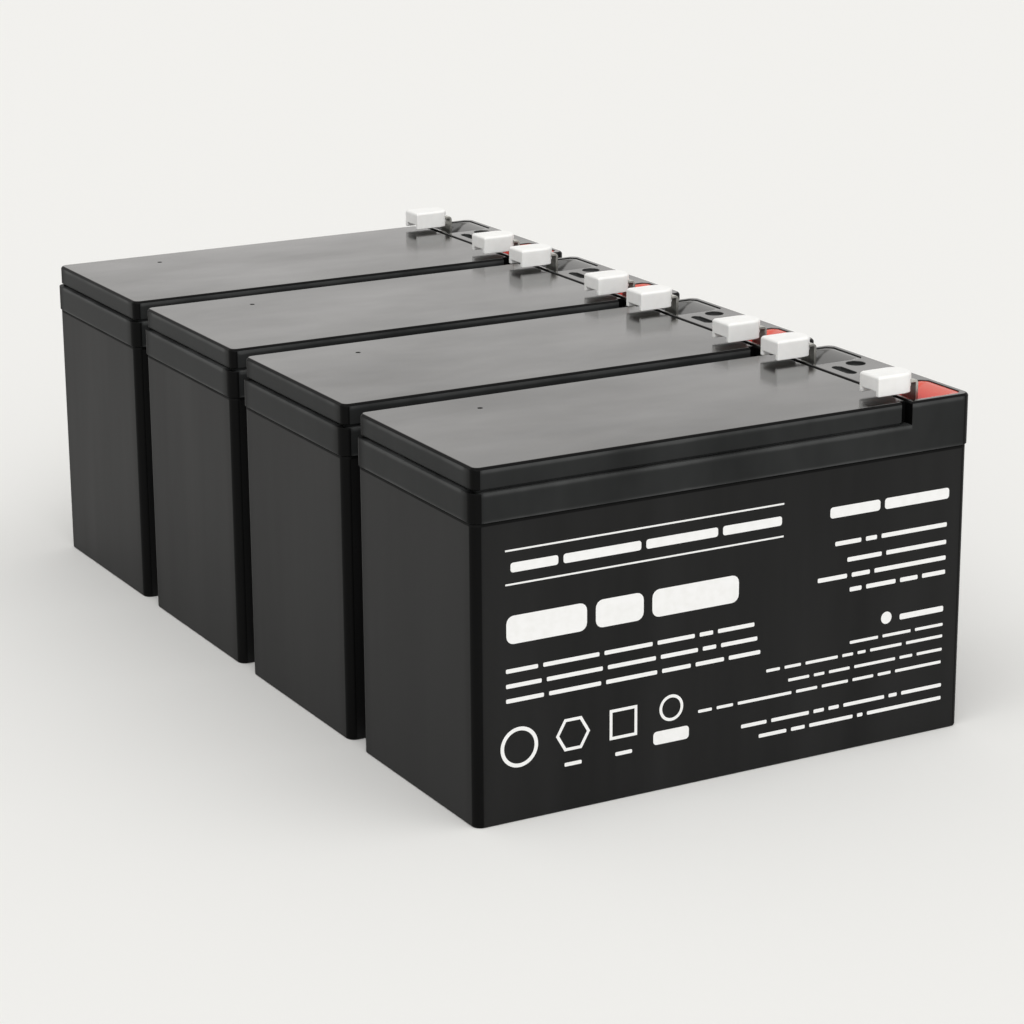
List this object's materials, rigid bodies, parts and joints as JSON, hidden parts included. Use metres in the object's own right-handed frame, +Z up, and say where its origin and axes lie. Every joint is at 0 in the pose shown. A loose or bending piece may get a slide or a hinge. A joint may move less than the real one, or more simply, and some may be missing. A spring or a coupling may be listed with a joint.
{
  "type": "ups battery cartridge",
  "caption": "Row of black sealed lead-acid blocks for a ups, lids with raised terminal end, red and black wells and white blade covers.",
  "frame": {"origin": "middle of the row's footprint, on the surface that the blocks stand on", "axes": "+X along each block towards its terminals, +Y across the row away from the printed face, +Z up"},
  "size_m": [0.151, 0.281, 0.1006],
  "materials": {
    "jar_plastic": "moulded black ABS, satin",
    "lid_plastic": "moulded black ABS, satin",
    "cover_plastic": "moulded black ABS, smooth and shiny on top",
    "valve_rubber": "moulded black rubber",
    "positive_plate": "brown lead dioxide paste on a lead grid",
    "negative_plate": "grey sponge lead on a lead grid",
    "glass_mat": "white absorbent glass fibre mat",
    "cast_lead": "cast lead, dull grey",
    "tinned_tab": "tin-plated brass strip",
    "red_resin": "poured red epoxy resin",
    "black_resin": "poured black epoxy resin",
    "cap_plastic": "moulded white plastic",
    "print_ink": "white pad-printed ink"
  },
  "bodies": {
    "root": {"jar_1": "jar_plastic", "lid_1": "lid_plastic", "top_cover_1": "cover_plastic", "vent_valves_1": "valve_rubber", "positive_plates_1": "positive_plate", "negative_plates_1": "negative_plate", "separators_1": "glass_mat", "cell_straps_1": "cast_lead", "terminal_poles_1": "cast_lead", "positive_tab_1": "tinned_tab", "negative_tab_1": "tinned_tab", "positive_seal_1": "red_resin", "negative_seal_1": "black_resin", "positive_cap_1": "cap_plastic", "negative_cap_1": "cap_plastic", "jar_2": "jar_plastic", "lid_2": "lid_plastic", "top_cover_2": "cover_plastic", "vent_valves_2": "valve_rubber", "cell_straps_2": "cast_lead", "terminal_poles_2": "cast_lead", "positive_tab_2": "tinned_tab", "negative_tab_2": "tinned_tab", "positive_seal_2": "red_resin", "negative_seal_2": "black_resin", "positive_cap_2": "cap_plastic", "negative_cap_2": "cap_plastic", "plate_packs_2": "negative_plate", "jar_3": "jar_plastic", "lid_3": "lid_plastic", "top_cover_3": "cover_plastic", "vent_valves_3": "valve_rubber", "cell_straps_3": "cast_lead", "terminal_poles_3": "cast_lead", "positive_tab_3": "tinned_tab", "negative_tab_3": "tinned_tab", "positive_seal_3": "red_resin", "negative_seal_3": "black_resin", "positive_cap_3": "cap_plastic", "negative_cap_3": "cap_plastic", "plate_packs_3": "negative_plate", "jar_4": "jar_plastic", "lid_4": "lid_plastic", "top_cover_4": "cover_plastic", "vent_valves_4": "valve_rubber", "cell_straps_4": "cast_lead", "terminal_poles_4": "cast_lead", "positive_tab_4": "tinned_tab", "negative_tab_4": "tinned_tab", "positive_seal_4": "red_resin", "negative_seal_4": "black_resin", "positive_cap_4": "cap_plastic", "negative_cap_4": "cap_plastic", "plate_packs_4": "negative_plate"}
  },
  "joints": []
}
